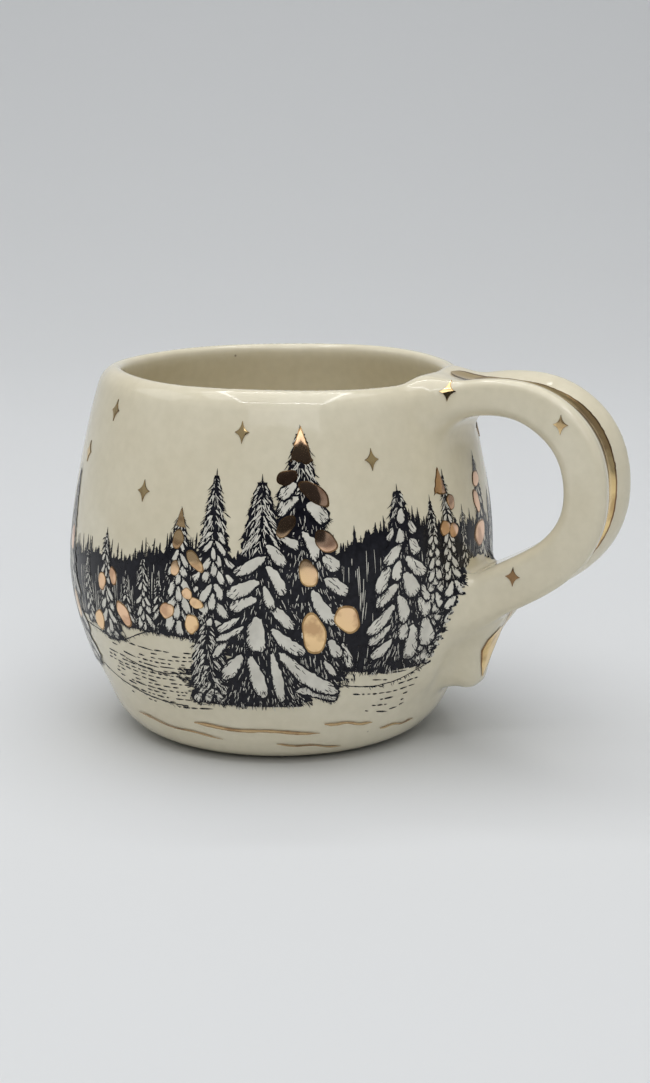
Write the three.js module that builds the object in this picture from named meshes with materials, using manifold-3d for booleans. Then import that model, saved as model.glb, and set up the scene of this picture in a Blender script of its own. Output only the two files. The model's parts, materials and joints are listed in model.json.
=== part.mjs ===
// A handmade stoneware mug: a bellied wall with a thick rounded lip, a base slab, a pulled strap
// handle with a gilded groove and a tail pressed down the wall, a transfer-printed winter forest
// and small gilded stars. Millimetres, +Z up, origin at the middle of the flat underside, and
// the handle points along +X.
import * as THREE from 'three';
import { mergeVertices } from 'three/addons/utils/BufferGeometryUtils.js';
import Module from 'manifold-3d';

const wasm = await Module();
wasm.setup();

// ---------------------------------------------------------------- driving dimensions (mm)
const RIM_HEIGHT = 87;
const LIP_START_HEIGHT = 83.5;
const BASE_CORNER_HEIGHT = 2.5;
const FLAT_RADIUS = 31.5;
const BASE_CORNER_SWELL = 2.7;
const BELLY_REACH = 60;
const FLOOR_THICKNESS = 6;
const SLAB_RADIUS = 29.7;
const JOINT_GAP = 0.3;

const STRAP_WIDTH = 18;
const STRAP_EDGE_ROUNDING = 2.4;
const GROOVE_RADIUS = 3.1;
const GROOVE_DEPTH = 2.2;
const GROOVE_LINE_WIDTH = 2;

const FILM_THICKNESS = 0.3;
const TAIL_DROP_WIDTH = 8;
const STAR_WIDTH = 3.6;
const STAR_HEIGHT = 4.9;
const STAR_WAIST = 0.3;
const STROKE_WIDTH = 0.9;

// Outer wall: radius at each height, belly at 42 mm.
const WALL_OUTSIDE = [
  [BASE_CORNER_HEIGHT, 36.2], [6, 39.7], [11, 42.2], [17, 45.1], [25, 48.1], [34, 50.4],
  [42, 51.2], [50, 50.9], [58, 49.9], [67, 48.2], [76, 46.2], [LIP_START_HEIGHT, 44.2],
];
// Inner wall, from the edge of the slab up to the underside of the lip.
const WALL_INSIDE = [
  [FLOOR_THICKNESS, 30], [7.5, 33.5], [12, 37.6], [20, 41.6], [31, 45.2], [42, 46.4],
  [56, 45.6], [66, 43.6], [76, 41], [81, 39.2], [LIP_START_HEIGHT, 38.1],
];
// Lip between the outer and the inner wall, as [radius, height].
const LIP = [[43.4, 85.1], [42.1, 86.4], [40.4, RIM_HEIGHT], [38.8, 86.5], [37.8, 85.2]];

// Side outline of the handle, as [x, z]: over the strap, down the tail, back under the strap.
const STRAP_OUTER_EDGE = [
  [38, 87.4], [46, 88.3], [54, 89.1], [62, 89.3], [70, 87.5], [77, 83.4], [82, 77.5],
  [84.6, 70], [84.7, 61], [82.2, 52.8], [76.5, 44.6], [68.5, 39], [61.5, 34.8],
];
const TAIL_OUTER_EDGE = [
  [58.6, 31], [56.6, 26.6], [54.7, 21], [52.8, 16.6], [50.3, 14], [47, 13.1], [38, 13],
];
const STRAP_INNER_EDGE = [
  [38, 51], [46, 50.5], [50.8, 48.2], [53, 45.8], [56.5, 45.6], [62, 48.4], [67.5, 51.8],
  [72.3, 56.8], [75, 63.4], [74.6, 69.6], [71.4, 75.4], [66, 79.6], [59, 81], [52.5, 80.8],
  [48.8, 78.8], [46.4, 74.5], [38, 72],
];

// Stars on the wall, as [degrees round from the handle, height].
const WALL_STARS = [
  [-135, 70], [-122, 81], [-103, 65], [-74, 79.5], [-38, 73], [20, 74], [46, 79], [60, 70],
  [98, 80], [128, 71], [156, 79], [200, 75],
];
// Stars on the flat sides of the strap, as [x, z].
const STRAP_STARS = [[47.6, 85.4], [74.4, 80.6], [63.8, 44.8]];
// Gold brush strokes low on the wall, as [start degrees, start height, end degrees, end height].
const SNOW_STROKES = [
  [-117, 9.3, -83, 6.6], [-92, 10.4, -51, 8.8], [-65, 6, -42, 4], [-50, 11.2, -33, 9.9],
  [-29, 7.6, -19, 8.6], [40, 9, 70, 7], [78, 10.5, 118, 8], [130, 6.5, 160, 8.5],
  [172, 10, 205, 7.5],
];
// Trees that rise above the forest, as [degrees round, height of the tip, half width in degrees].
const TREES = [
  [-140, 66, 9], [-115, 55, 6], [-90, 63, 8], [-80, 70, 8], [-68, 69, 10], [-58, 81, 10],
  [-31, 66, 8], [-21, 63, 7], [-14, 67, 7], [4, 69, 7], [34, 72, 9], [52, 62, 7], [70, 78, 10],
  [88, 66, 8], [112, 74, 9], [126, 60, 7], [148, 70, 9], [170, 62, 8], [186, 77, 10], [203, 64, 8],
];
const TREELINE_HEIGHT = 54;
// The print stops this far beside the strap's lower root, up to this height.
const PRINT_ROOT_MARGIN = 1.5;
const PRINT_ROOT_TOP = 53;
const PRINT_BOTTOM_HEIGHT = 16.5;
const PRINT_BOTTOM_SWELL = 1.5;

// ---------------------------------------------------------------- resolution
const WALL_SEGMENTS = 72;
const PRINT_SEGMENTS = 90;
const PRINT_ROWS = 11;

// ---------------------------------------------------------------- materials
const glaze = new THREE.MeshStandardMaterial({ color: 0xd8d2bd, roughness: 0.2, metalness: 0 });
const bareClay = new THREE.MeshStandardMaterial({ color: 0xb9a888, roughness: 0.85, metalness: 0 });
const gold = new THREE.MeshStandardMaterial({ color: 0xd6a860, roughness: 0.15, metalness: 1 });
const ink = new THREE.MeshStandardMaterial({ color: 0x24242e, roughness: 0.35, metalness: 0 });

const mug = new THREE.Group();

function addPiece(name, geometry, material) {
  const piece = new THREE.Mesh(geometry, material);
  piece.name = name;
  mug.add(piece);
  return piece;
}

// ---------------------------------------------------------------- booleans
function toSolid(geometry) {
  const bare = geometry.clone();
  bare.deleteAttribute('normal');
  bare.deleteAttribute('uv');
  const merged = mergeVertices(bare);
  return new wasm.Manifold(new wasm.Mesh({
    numProp: 3,
    vertProperties: new Float32Array(merged.attributes.position.array),
    triVerts: new Uint32Array(merged.index.array),
  }));
}

function toGeometry(solid) {
  const mesh = solid.getMesh();
  const geometry = new THREE.BufferGeometry();
  geometry.setAttribute('position', new THREE.Float32BufferAttribute(mesh.vertProperties, 3));
  geometry.setIndex(Array.from(mesh.triVerts));
  geometry.computeVertexNormals();
  return geometry;
}

// ---------------------------------------------------------------- wall profile
// Smooth radius at a height, by cubic Hermite steps through [height, radius] points.
function profileRadius(points, height) {
  const last = points.length - 1;
  const slope = (i) => {
    const before = points[Math.max(i - 1, 0)];
    const after = points[Math.min(i + 1, last)];
    return (after[1] - before[1]) / (after[0] - before[0]);
  };
  let i = 0;
  while (i < last - 1 && height > points[i + 1][0]) i += 1;
  const span = points[i + 1][0] - points[i][0];
  const t = THREE.MathUtils.clamp((height - points[i][0]) / span, 0, 1);
  const startWeight = 2 * t ** 3 - 3 * t ** 2 + 1;
  const startSlope = (t ** 3 - 2 * t ** 2 + t) * span * slope(i);
  const endSlope = (t ** 3 - t ** 2) * span * slope(i + 1);
  return points[i][1] * startWeight + startSlope + points[i + 1][1] * (1 - startWeight) + endSlope;
}

const outsideRadius = (height) => profileRadius(WALL_OUTSIDE, height);
const insideRadius = (height) => profileRadius(WALL_INSIDE, height);

function profilePoints(radiusAt, fromHeight, toHeight, steps) {
  return Array.from({ length: steps + 1 }, (_, i) => {
    const height = THREE.MathUtils.lerp(fromHeight, toHeight, i / steps);
    return new THREE.Vector2(radiusAt(height), height);
  });
}

// A lathe around +Z of a profile that closes on itself.
function lathe(profile, segments) {
  const geometry = new THREE.LatheGeometry([...profile, profile[0].clone()], segments);
  return geometry.rotateX(Math.PI / 2);
}

function wallGeometry() {
  const corner = new THREE.QuadraticBezierCurve(
    new THREE.Vector2(FLAT_RADIUS, 0),
    new THREE.Vector2(FLAT_RADIUS + BASE_CORNER_SWELL, 0),
    new THREE.Vector2(WALL_OUTSIDE[0][1], BASE_CORNER_HEIGHT),
  );
  const slabHole = SLAB_RADIUS + JOINT_GAP;
  const profile = [
    new THREE.Vector2(slabHole, 0),
    ...corner.getPoints(3).slice(0, -1),
    ...profilePoints(outsideRadius, BASE_CORNER_HEIGHT, LIP_START_HEIGHT, 17),
    ...LIP.map(([radius, height]) => new THREE.Vector2(radius, height)),
    ...profilePoints(insideRadius, LIP_START_HEIGHT, FLOOR_THICKNESS, 14),
  ];
  return lathe(profile, WALL_SEGMENTS);
}

function slabGeometry() {
  const slab = new THREE.CylinderGeometry(SLAB_RADIUS, SLAB_RADIUS, FLOOR_THICKNESS, WALL_SEGMENTS);
  return slab.rotateX(Math.PI / 2).translate(0, 0, FLOOR_THICKNESS / 2);
}

// ---------------------------------------------------------------- handle
const toVectors = (points) => points.map(([x, z]) => new THREE.Vector2(x, z));
const strapOuterCurve = new THREE.SplineCurve(toVectors(STRAP_OUTER_EDGE));
const tailOuterCurve = new THREE.SplineCurve(toVectors(TAIL_OUTER_EDGE));

// A point at a share of an outer edge's length, lifted off the clay along the edge's normal.
function edgePoint(curve, share, lift) {
  const point = curve.getPointAt(share);
  const tangent = curve.getTangentAt(share);
  return new THREE.Vector3(point.x - tangent.y * lift, 0, point.y + tangent.x * lift);
}

function edgePath(curve, from, to, lift, count = 14) {
  const shares = Array.from({ length: count }, (_, i) => THREE.MathUtils.lerp(from, to, i / (count - 1)));
  return new THREE.CatmullRomCurve3(shares.map((share) => edgePoint(curve, share, lift)));
}

// An oval section with a width across the path and a height off the clay.
function oval(width, height, sides) {
  const corners = Array.from({ length: sides }, (_, i) => {
    const turn = (2 * Math.PI * i) / sides;
    return new THREE.Vector2((width / 2) * Math.cos(turn), (height / 2) * Math.sin(turn));
  });
  return new THREE.Shape(corners);
}

const GROOVE_FROM = 0.1;
const GROOVE_TO = 0.97;

function grooveCutter() {
  const path = edgePath(strapOuterCurve, GROOVE_FROM, GROOVE_TO, GROOVE_RADIUS - GROOVE_DEPTH);
  const section = oval(2 * GROOVE_RADIUS, 2 * GROOVE_RADIUS, 12);
  return new THREE.ExtrudeGeometry(section, { extrudePath: path, steps: 40, bevelEnabled: false });
}

// The space that the fired wall takes, grown by the joint gap, with the way up past the lip.
function wallSpace() {
  const coreRadius = 20;
  const clearHeight = RIM_HEIGHT + 10;
  const [shoulder, crest] = LIP;
  const profile = [
    new THREE.Vector2(coreRadius, -5),
    new THREE.Vector2(FLAT_RADIUS, -5),
    ...profilePoints((h) => outsideRadius(h) + JOINT_GAP, BASE_CORNER_HEIGHT, LIP_START_HEIGHT, 17),
    new THREE.Vector2(shoulder[0] + JOINT_GAP, shoulder[1]),
    new THREE.Vector2(crest[0] + JOINT_GAP, crest[1]),
    new THREE.Vector2(crest[0] + JOINT_GAP, clearHeight),
    new THREE.Vector2(coreRadius, clearHeight),
  ];
  return lathe(profile, WALL_SEGMENTS);
}

function handleGeometry() {
  const outline = new THREE.Shape();
  outline.moveTo(...STRAP_OUTER_EDGE[0]);
  outline.splineThru(toVectors(STRAP_OUTER_EDGE.slice(1)));
  outline.splineThru(toVectors(TAIL_OUTER_EDGE));
  outline.lineTo(...STRAP_INNER_EDGE[0]);
  outline.splineThru(toVectors(STRAP_INNER_EDGE.slice(1)));
  const bar = new THREE.ExtrudeGeometry(outline, {
    depth: STRAP_WIDTH - 2 * STRAP_EDGE_ROUNDING,
    curveSegments: 2,
    bevelThickness: STRAP_EDGE_ROUNDING,
    bevelSize: STRAP_EDGE_ROUNDING,
    bevelOffset: -STRAP_EDGE_ROUNDING,
    bevelSegments: 3,
  });
  bar.translate(0, 0, STRAP_EDGE_ROUNDING - STRAP_WIDTH / 2);
  bar.rotateX(Math.PI / 2);
  const grooved = toSolid(bar).subtract(toSolid(grooveCutter()));
  return toGeometry(grooved.subtract(toSolid(wallSpace())));
}

// ---------------------------------------------------------------- gilding
const filmCentreLift = JOINT_GAP + FILM_THICKNESS / 2;

function grooveGilding() {
  const lift = filmCentreLift - GROOVE_DEPTH;
  const path = edgePath(strapOuterCurve, GROOVE_FROM + 0.02, GROOVE_TO - 0.02, lift);
  const section = oval(GROOVE_LINE_WIDTH, FILM_THICKNESS, 8);
  return new THREE.ExtrudeGeometry(section, { extrudePath: path, steps: 36, bevelEnabled: false });
}

// The teardrop of gold on the outer face of the tail, widest near its foot.
function tailGilding() {
  const path = edgePath(tailOuterCurve, 0.02, 0.5, filmCentreLift + 0.1, 6);
  const section = oval(TAIL_DROP_WIDTH, FILM_THICKNESS, 10);
  const drop = new THREE.ExtrudeGeometry(section, { extrudePath: path, steps: 12, bevelEnabled: false });
  const top = path.getPoint(0).z;
  const foot = path.getPoint(1).z;
  const position = drop.attributes.position;
  for (let i = 0; i < position.count; i += 1) {
    const along = THREE.MathUtils.clamp((top - position.getZ(i)) / (top - foot), 0, 1);
    const taper = 0.2 + 0.8 * Math.sin(Math.PI * along ** 1.5);
    position.setY(i, position.getY(i) * taper);
  }
  return drop;
}

// A four-pointed star plate in its own plane, with its long points up and down.
function starGeometry() {
  const corners = Array.from({ length: 8 }, (_, i) => {
    const turn = (Math.PI * i) / 4;
    const reach = i % 2 === 0 ? 1 : STAR_WAIST * Math.SQRT2;
    return new THREE.Vector2(
      (reach * STAR_WIDTH * Math.cos(turn)) / 2,
      (reach * STAR_HEIGHT * Math.sin(turn)) / 2,
    );
  });
  const depth = FILM_THICKNESS;
  return new THREE.ExtrudeGeometry(new THREE.Shape(corners), { depth, bevelEnabled: false });
}

const numbered = (name, index) => `${name}_${String(index + 1).padStart(2, '0')}`;

// A holder that turns a plate to face outwards at an angle round the wall, leaning with it.
function wallPlate(name, geometry, material, degrees, height) {
  const rise = outsideRadius(height + 1) - outsideRadius(height - 1);
  const lean = Math.atan2(rise, 2);
  const plate = addPiece(name, geometry, material);
  plate.rotation.set(Math.PI / 2 + lean, 0, 0);
  plate.position.set(0, -(outsideRadius(height) + JOINT_GAP), height);
  const turntable = new THREE.Group();
  turntable.rotation.z = THREE.MathUtils.degToRad(degrees + 90);
  turntable.add(plate);
  mug.add(turntable);
}

function addStars() {
  WALL_STARS.forEach(([degrees, height], i) => {
    wallPlate(numbered('wall_star', i), starGeometry(), gold, degrees, height);
  });
  const sideLift = STRAP_WIDTH / 2 + JOINT_GAP;
  for (const [side, name] of [[-1, 'handle_star_near'], [1, 'handle_star_far']]) {
    STRAP_STARS.forEach(([x, z], i) => {
      const star = addPiece(numbered(name, i), starGeometry(), gold);
      star.rotation.set(Math.PI / 2, side > 0 ? Math.PI : 0, 0);
      star.position.set(x, side * sideLift, z);
    });
  }
}

function wallPoint(degrees, height, lift) {
  const angle = THREE.MathUtils.degToRad(degrees);
  const radius = outsideRadius(height) + lift;
  return new THREE.Vector3(radius * Math.cos(angle), radius * Math.sin(angle), height);
}

function strokeGeometry([fromDegrees, fromHeight, toDegrees, toHeight]) {
  const steps = 8;
  const lift = JOINT_GAP + STROKE_WIDTH / 2;
  const points = Array.from({ length: steps + 1 }, (_, i) => wallPoint(
    THREE.MathUtils.lerp(fromDegrees, toDegrees, i / steps),
    THREE.MathUtils.lerp(fromHeight, toHeight, i / steps),
    lift,
  ));
  const path = new THREE.CatmullRomCurve3(points);
  const section = oval(STROKE_WIDTH, STROKE_WIDTH, 8);
  return new THREE.ExtrudeGeometry(section, { extrudePath: path, steps, bevelEnabled: false });
}

// ---------------------------------------------------------------- forest print
// Height of the top of the trees at an angle: a level forest with the taller trees as tents.
function treeline(degrees) {
  const tents = TREES.map(([middle, tip, halfWidth]) => {
    const away = Math.abs(THREE.MathUtils.euclideanModulo(degrees - middle + 180, 360) - 180);
    return tip - ((tip - TREELINE_HEIGHT) * away) / halfWidth;
  });
  return Math.max(TREELINE_HEIGHT, ...tents);
}

function forestGeometry() {
  const rows = Array.from({ length: PRINT_ROWS + 1 }, (_, i) => i / PRINT_ROWS);
  const profile = [
    ...rows.map((share) => new THREE.Vector2(2, share)),
    ...rows.toReversed().map((share) => new THREE.Vector2(1, share)),
  ];
  const print = lathe(profile, PRINT_SEGMENTS);
  const position = print.attributes.position;
  for (let i = 0; i < position.count; i += 1) {
    const angle = Math.atan2(position.getY(i), position.getX(i));
    const outside = Math.hypot(position.getX(i), position.getY(i)) > 1.5;
    const bottom = PRINT_BOTTOM_HEIGHT + PRINT_BOTTOM_SWELL * Math.cos(3 * angle);
    const top = treeline(THREE.MathUtils.radToDeg(angle));
    const height = THREE.MathUtils.lerp(bottom, top, position.getZ(i));
    const radius = outsideRadius(height) + JOINT_GAP + (outside ? FILM_THICKNESS : 0);
    position.setXYZ(i, radius * Math.cos(angle), radius * Math.sin(angle), height);
  }
  const rootWidth = STRAP_WIDTH + 2 * PRINT_ROOT_MARGIN;
  const rootSpace = new THREE.BoxGeometry(BELLY_REACH, rootWidth, PRINT_ROOT_TOP);
  rootSpace.translate(BELLY_REACH / 2, 0, PRINT_ROOT_TOP / 2);
  return toGeometry(toSolid(print).subtract(toSolid(rootSpace)));
}

// ---------------------------------------------------------------- the mug
addPiece('body_wall', wallGeometry(), glaze);
addPiece('base_slab', slabGeometry(), bareClay);
addPiece('handle_strap', handleGeometry(), glaze);
addPiece('groove_gilding', grooveGilding(), gold);
addPiece('tail_gilding', tailGilding(), gold);
addPiece('forest_print', forestGeometry(), ink);
SNOW_STROKES.forEach((stroke, i) => {
  addPiece(numbered('snow_stroke', i), strokeGeometry(stroke), gold);
});
addStars();

export default mug;
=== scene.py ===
"""A handmade stoneware mug with a winter forest print and gold lustre, on a pale paper sweep.

The clay is one fired body, so it is meshed from one smooth field: a turned wall with a rounded
lip, a swept strap handle with a valley along it, and its tail. The forest is drawn as ribbons
and snow shapes in flat (arc, height) coordinates and then laid on the clay, and so are the gold
dabs, stars and brush strokes. Lengths are millimetres until a mesh is made.
"""

import json
import math
import random

import bpy
import numpy as np
import openvdb
from mathutils import Matrix, Vector

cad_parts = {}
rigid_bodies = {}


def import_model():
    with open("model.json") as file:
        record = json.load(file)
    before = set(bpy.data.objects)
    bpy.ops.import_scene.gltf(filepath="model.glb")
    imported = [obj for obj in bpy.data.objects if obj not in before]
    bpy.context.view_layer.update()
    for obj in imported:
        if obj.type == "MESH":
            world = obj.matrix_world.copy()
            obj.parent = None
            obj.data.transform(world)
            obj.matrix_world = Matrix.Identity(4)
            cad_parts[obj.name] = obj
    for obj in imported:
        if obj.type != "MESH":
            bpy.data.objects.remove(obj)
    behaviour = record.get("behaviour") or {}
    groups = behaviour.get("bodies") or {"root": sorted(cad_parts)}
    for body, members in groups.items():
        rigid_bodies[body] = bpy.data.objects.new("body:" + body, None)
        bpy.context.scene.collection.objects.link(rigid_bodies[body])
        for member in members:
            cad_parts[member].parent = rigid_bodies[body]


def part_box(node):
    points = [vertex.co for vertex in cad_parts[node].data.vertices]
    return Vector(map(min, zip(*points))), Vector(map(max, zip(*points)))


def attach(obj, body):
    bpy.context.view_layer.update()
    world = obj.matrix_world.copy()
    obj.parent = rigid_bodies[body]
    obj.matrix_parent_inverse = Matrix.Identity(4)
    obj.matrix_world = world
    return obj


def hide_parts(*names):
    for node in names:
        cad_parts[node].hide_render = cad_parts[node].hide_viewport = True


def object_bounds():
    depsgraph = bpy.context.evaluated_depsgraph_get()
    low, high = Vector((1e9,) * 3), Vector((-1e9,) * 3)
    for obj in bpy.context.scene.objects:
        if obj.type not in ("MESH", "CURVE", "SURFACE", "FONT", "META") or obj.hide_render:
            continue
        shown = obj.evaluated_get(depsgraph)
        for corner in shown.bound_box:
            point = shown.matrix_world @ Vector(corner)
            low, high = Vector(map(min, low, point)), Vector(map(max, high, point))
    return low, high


for left_over in list(bpy.data.objects):
    bpy.data.objects.remove(left_over)
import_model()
CAD_LOW, CAD_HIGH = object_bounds()

MM = 0.001
GRID_STEP = 0.95

# ------------------------------------------------------------------ sizes read off the frame
WALL_LOW, WALL_HIGH = (np.array(corner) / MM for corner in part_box("body_wall"))
RIM_HEIGHT = WALL_HIGH[2]
BELLY_RADIUS = WALL_HIGH[1]
STRAP_WIDTH = 2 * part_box("handle_strap")[1][1] / MM
FLOOR_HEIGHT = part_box("base_slab")[1][2] / MM

BELLY_HEIGHT = 42

# Outer wall as (height, radius); the belly is the widest.
WALL_OUTSIDE = [
    (0, 33.6), (2.5, 36.4), (6, 39.6), (11, 42.3), (17, 45.1), (25, 48.1), (34, 50.4),
    (BELLY_HEIGHT, BELLY_RADIUS), (50, 50.9), (58, 49.9), (67, 48.2), (76, 46.2),
    (83.5, 44.2), (88, 42.8),
]
# Inner wall as (height, radius), up past the lip.
WALL_INSIDE = [
    (0, 38), (12, 40.4), (22, 43.4), (32, 45.6), (42, 46.5), (56, 45.7), (66, 43.8), (76, 41.4),
    (83, 39), (87, 37.5), (92, 35.8),
]
# Middle line of the strap as (x, z, thickness), from inside the lip over the arch to the wall.
STRAP_LINE = [
    (41.5, 82.2, 8), (47.5, 83.8, 8.3), (55, 85.1, 8.6), (62.6, 85, 9.2), (69.5, 82.7, 10.2),
    (75.4, 78, 10.6), (78.8, 72, 10.7), (80, 65.4, 10.6), (79.4, 59.1, 10.6), (76.9, 53.5, 10.8),
    (72.4, 48.5, 11), (66.3, 44.3, 11.3), (59.5, 40.5, 11.4), (52.5, 37, 11.5), (45, 33.5, 11.5),
]
# Middle line of the tail as (x, z, thickness), from the strap's underside down the wall.
TAIL_LINE = [(56, 37.5, 9), (52.6, 31, 9.4), (50.5, 25.5, 9.5), (48.9, 20, 9.8), (47.6, 14.9, 10.2)]
TAIL_WIDTH, TAIL_TAPER = 13.5, 0.9
VALLEY_DEPTH, VALLEY_SPREAD = 2.4, 4.6


# ------------------------------------------------------------------ curves
class Spline:
    """A natural cubic spline through points, straight past its two ends."""

    def __init__(self, at, values):
        self.at = np.asarray(at, float)
        self.values = np.asarray(values, float)
        count = len(self.at)
        gap = np.diff(self.at)
        matrix = np.eye(count)
        right = np.zeros(count)
        for i in range(1, count - 1):
            matrix[i, i - 1:i + 2] = gap[i - 1], 2 * (gap[i - 1] + gap[i]), gap[i]
            steps = np.diff(self.values[i - 1:i + 2]) / gap[i - 1:i + 1]
            right[i] = 6 * (steps[1] - steps[0])
        self.bend = np.linalg.solve(matrix, right)
        self.gap = gap

    def __call__(self, x, order=0):
        x = np.asarray(x, float)
        inside = np.clip(x, self.at[0], self.at[-1])
        i = np.clip(np.searchsorted(self.at, inside) - 1, 0, len(self.gap) - 1)
        gap, left = self.gap[i], self.at[i]
        low, high = self.values[i], self.values[i + 1]
        bend_low, bend_high = self.bend[i], self.bend[i + 1]
        b = (inside - left) / gap
        a = 1 - b
        turn = (3 * b * b - 1) * bend_high - (3 * a * a - 1) * bend_low
        slope = (high - low) / gap + gap / 6 * turn
        if order == 1:
            return slope
        if order == 2:
            return a * bend_low + b * bend_high
        value = a * low + b * high
        value += gap * gap / 6 * ((a ** 3 - a) * bend_low + (b ** 3 - b) * bend_high)
        return value + slope * (x - inside)


outside_radius = Spline(*zip(*WALL_OUTSIDE))
inside_radius = Spline(*zip(*WALL_INSIDE))


def smooth_max(a, b, width):
    near = np.maximum(width - np.abs(a - b), 0) / width
    return np.maximum(a, b) + near * near * width / 4


def smooth_min(a, b, width):
    return -smooth_max(-a, -b, width)


# ------------------------------------------------------------------ the clay as a field
LEAN = 0.012
LEAN_ANGLE = math.radians(27)
SMEAR_ANGLE, SMEAR_SPREAD = 14, 5
SMEAR_HEIGHT, SMEAR_REACH, SMEAR_DEPTH = 30, 13, 1.6
LIP_SWELL = 1.75
FOOT_ROUNDING, LIP_ROUNDING, MOUTH_ROUNDING, FLOOR_ROUNDING = 3.5, 5, 4.5, 14
# The handle lies past this x and within this much of the mug's middle plane.
HANDLE_START, HANDLE_SIDE = 28, 26
LOW_ROOT_HEIGHT, HANDLE_MIDDLE = 43, 60
TOP_BLEND, LOW_BLEND, LOW_BLEND_MORE, TAIL_BLEND = 8.0, 2.5, 3.0, 6


def dents(angle, z):
    """How far the hand-pressed wall swells in or out at a place, in millimetres."""
    rise = np.clip(z / RIM_HEIGHT, 0, 1)
    slow = 0.22 * np.sin(2 * angle + 0.6 + 1.5 * rise) + 0.16 * np.sin(3 * angle - 1.1 - 2 * rise)
    pressed = 0.16 * np.sin(5 * angle + 3.5 * rise) * np.sin(2.2 * np.pi * rise)
    lip = 0.22 * rise ** 6 * np.sin(4 * angle + 0.9)
    beside = np.degrees(np.abs((angle + np.pi) % (2 * np.pi) - np.pi)) - SMEAR_ANGLE
    smear = SMEAR_DEPTH * np.exp(-(beside / SMEAR_SPREAD) ** 2 - ((z - SMEAR_HEIGHT) / SMEAR_REACH) ** 4)
    return slow * (0.4 + 0.6 * rise) + pressed + lip + smear


def rim_level(angle):
    return RIM_HEIGHT + LIP_SWELL + 0.22 * np.sin(2 * angle - 0.7) + 0.12 * np.sin(5 * angle + 1.3)


def block_and_well(p):
    """Fields of the solid turned block and of the well in it; both are negative inside."""
    z = p[:, 2]
    shift = LEAN * (z - BELLY_HEIGHT)
    x = p[:, 0] - shift * math.cos(LEAN_ANGLE)
    y = p[:, 1] - shift * math.sin(LEAN_ANGLE)
    angle = np.arctan2(y, x)
    radius = np.hypot(x, y) - dents(angle, z)
    outer = (radius - outside_radius(z)) / np.sqrt(1 + outside_radius(z, 1) ** 2)
    inner = (radius - inside_radius(z)) / np.sqrt(1 + inside_radius(z, 1) ** 2)
    footed = smooth_max(outer, -z, FOOT_ROUNDING)
    block = smooth_max(footed, z - rim_level(angle), LIP_ROUNDING)
    well = smooth_max(inner, FLOOR_HEIGHT - z, FLOOR_ROUNDING)
    return block, well


class Sweep:
    """A rounded bar swept along a line in the XZ plane, with a valley along its outer face."""

    def __init__(self, line, width, valley, outer_round, inner_round):
        line = np.array(line, float)
        at = np.arange(len(line))
        self.x, self.z, self.thick = (Spline(at, line[:, k]) for k in range(3))
        self.last = len(line) - 1
        self.width, self.valley = width, valley
        self.outer_round, self.inner_round = outer_round, inner_round

    def nearest(self, x, z):
        """Share of the line nearest to points of the plane, as knots counted from the start."""
        coarse = np.linspace(0, self.last, 8 * self.last + 1)
        cx, cz = self.x(coarse), self.z(coarse)
        t = np.empty(len(x))
        for i in range(0, len(x), 40000):
            part = slice(i, i + 40000)
            away = (x[part, None] - cx) ** 2 + (z[part, None] - cz) ** 2
            t[part] = coarse[away.argmin(1)]
        for _ in range(3):
            dx, dz = self.x(t) - x, self.z(t) - z
            tx, tz = self.x(t, 1), self.z(t, 1)
            pull = dx * tx + dz * tz
            stiff = tx * tx + tz * tz + dx * self.x(t, 2) + dz * self.z(t, 2)
            t = np.clip(t - pull / np.maximum(stiff, 1), 0, self.last)
        return t

    def frame_at(self, t):
        tx, tz = self.x(t, 1), self.z(t, 1)
        size = np.hypot(tx, tz)
        return tx / size, tz / size

    def field(self, p):
        t = self.nearest(p[:, 0], p[:, 2])
        tx, tz = self.frame_at(t)
        dx, dz = p[:, 0] - self.x(t), p[:, 2] - self.z(t)
        off = -tz * dx + tx * dz
        along = tx * dx + tz * dz
        half = self.thick(t) / 2
        dip = self.valley(t) * np.exp(-(p[:, 1] / VALLEY_SPREAD) ** 2)
        over = np.where(off > 0, off - half + dip, -off - half)
        rounding = np.where(off > 0, self.outer_round, self.inner_round)
        crown = 0.35 * np.clip(off / half, -1, 1) ** 2
        aside = np.abs(p[:, 1]) - self.width(t) / 2 + crown
        speed = np.hypot(self.x(t, 1), self.z(t, 1))
        past_start = np.where(t <= 0, -along, -t * speed)
        past_stop = np.where(t >= self.last, along, (t - self.last) * speed)
        past_end = np.maximum(past_start, past_stop)
        sides = np.stack([over, aside, past_end]) + rounding
        return np.minimum(sides.max(0), 0) + np.linalg.norm(np.maximum(sides, 0), axis=0) - rounding


def strap_width(t):
    flare_top = 2.6 * np.exp(-(t / 1.3) ** 2)
    flare_low = 2.5 * np.exp(-((t - 14) / 1.6) ** 2)
    swell = 2.0 * np.exp(-((t - 7.5) / 3.5) ** 2)
    return STRAP_WIDTH + 0.8 + swell + flare_top + flare_low


def strap_valley(t):
    start = np.clip((t - 0.6) / 3.2, 0, 1)
    stop = np.clip((13.3 - t) / 1.5, 0, 1)
    return VALLEY_DEPTH * (0.3 + 0.7 * start) * stop


strap = Sweep(STRAP_LINE, strap_width, strap_valley, 2.0, 2.8)
tail = Sweep(TAIL_LINE, lambda t: TAIL_WIDTH - TAIL_TAPER * t, lambda t: 0 * t, 4, 4)


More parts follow.
